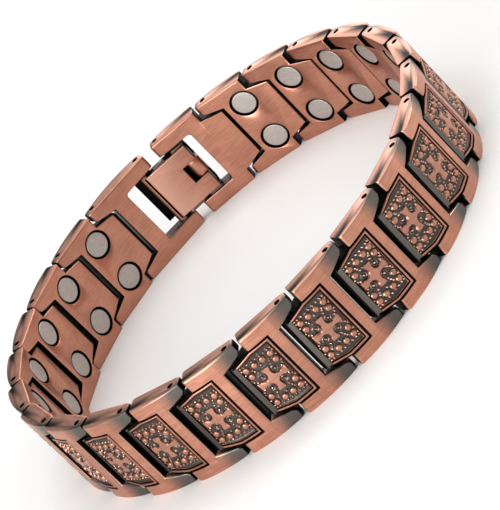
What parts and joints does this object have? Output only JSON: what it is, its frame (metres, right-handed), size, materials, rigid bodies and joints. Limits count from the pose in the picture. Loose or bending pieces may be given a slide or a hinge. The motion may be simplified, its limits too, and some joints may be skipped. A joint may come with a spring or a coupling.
{
  "type": "magnetic bracelet",
  "caption": "Closed link bracelet of antiqued copper with raised cross and bead plates, round magnets in the links' inner face and a fold-over clasp.",
  "frame": {"origin": "centre of the closed loop, on the plane of the band's lower edge", "axes": "+Z along the loop's axis, across the band; +Y from the loop's centre to the clasp; +X from the clasp's hinge side to its hook side"},
  "size_m": [0.0729, 0.0732, 0.0142],
  "materials": {
    "link_metal": "antiqued copper, rubbed bright on the raised parts and dark in the recesses",
    "end_link_metal": "brushed copper",
    "magnet": "satin plated magnet",
    "pin_metal": "darkened copper",
    "clasp_metal": "brushed copper, dark inside"
  },
  "bodies": {
    "chain": {"link_01": "link_metal", "link_02": "link_metal", "link_03": "link_metal", "link_04": "link_metal", "link_05": "link_metal", "link_06": "link_metal", "link_07": "link_metal", "link_08": "link_metal", "link_09": "link_metal", "link_10": "link_metal", "link_11": "link_metal", "link_12": "link_metal", "link_13": "link_metal", "link_14": "link_metal", "link_15": "link_metal", "link_16": "link_metal", "link_17": "link_metal", "link_18": "link_metal", "link_19": "link_metal", "link_20": "link_metal", "link_21": "link_metal", "link_22": "link_metal", "magnets_01": "magnet", "magnets_02": "magnet", "magnets_03": "magnet", "magnets_04": "magnet", "magnets_05": "magnet", "magnets_06": "magnet", "magnets_07": "magnet", "magnets_08": "magnet", "magnets_09": "magnet", "magnets_10": "magnet", "magnets_11": "magnet", "magnets_12": "magnet", "magnets_13": "magnet", "magnets_14": "magnet", "magnets_15": "magnet", "magnets_16": "magnet", "magnets_17": "magnet", "magnets_18": "magnet", "magnets_19": "magnet", "magnets_20": "magnet", "magnets_21": "magnet", "magnets_22": "magnet", "left_end_link": "end_link_metal", "right_end_link": "end_link_metal", "link_pins": "pin_metal", "clasp_hinge_bar": "pin_metal", "clasp_hook_bar": "pin_metal"},
    "blade": {"clasp_blade": "clasp_metal"},
    "lever": {"clasp_lever": "clasp_metal", "clasp_lever_pin": "pin_metal"}
  },
  "joints": [
    {"name": "blade_swing", "type": "hinge", "parent": "chain", "child": "blade", "pos_m": [-0.00198, 0.03516, 0.0071], "axis": [0, 0, -1], "range_deg": [0, 15.3]},
    {"name": "lever_swing", "type": "hinge", "parent": "blade", "child": "lever", "pos_m": [0.00404, 0.03446, 0.0071], "axis": [0, 0, -1], "range_deg": [0, 90]}
  ],
  "couplings": [
    {"joint": "blade_swing", "follows": "lever_swing", "ratio": 0.17}
  ]
}
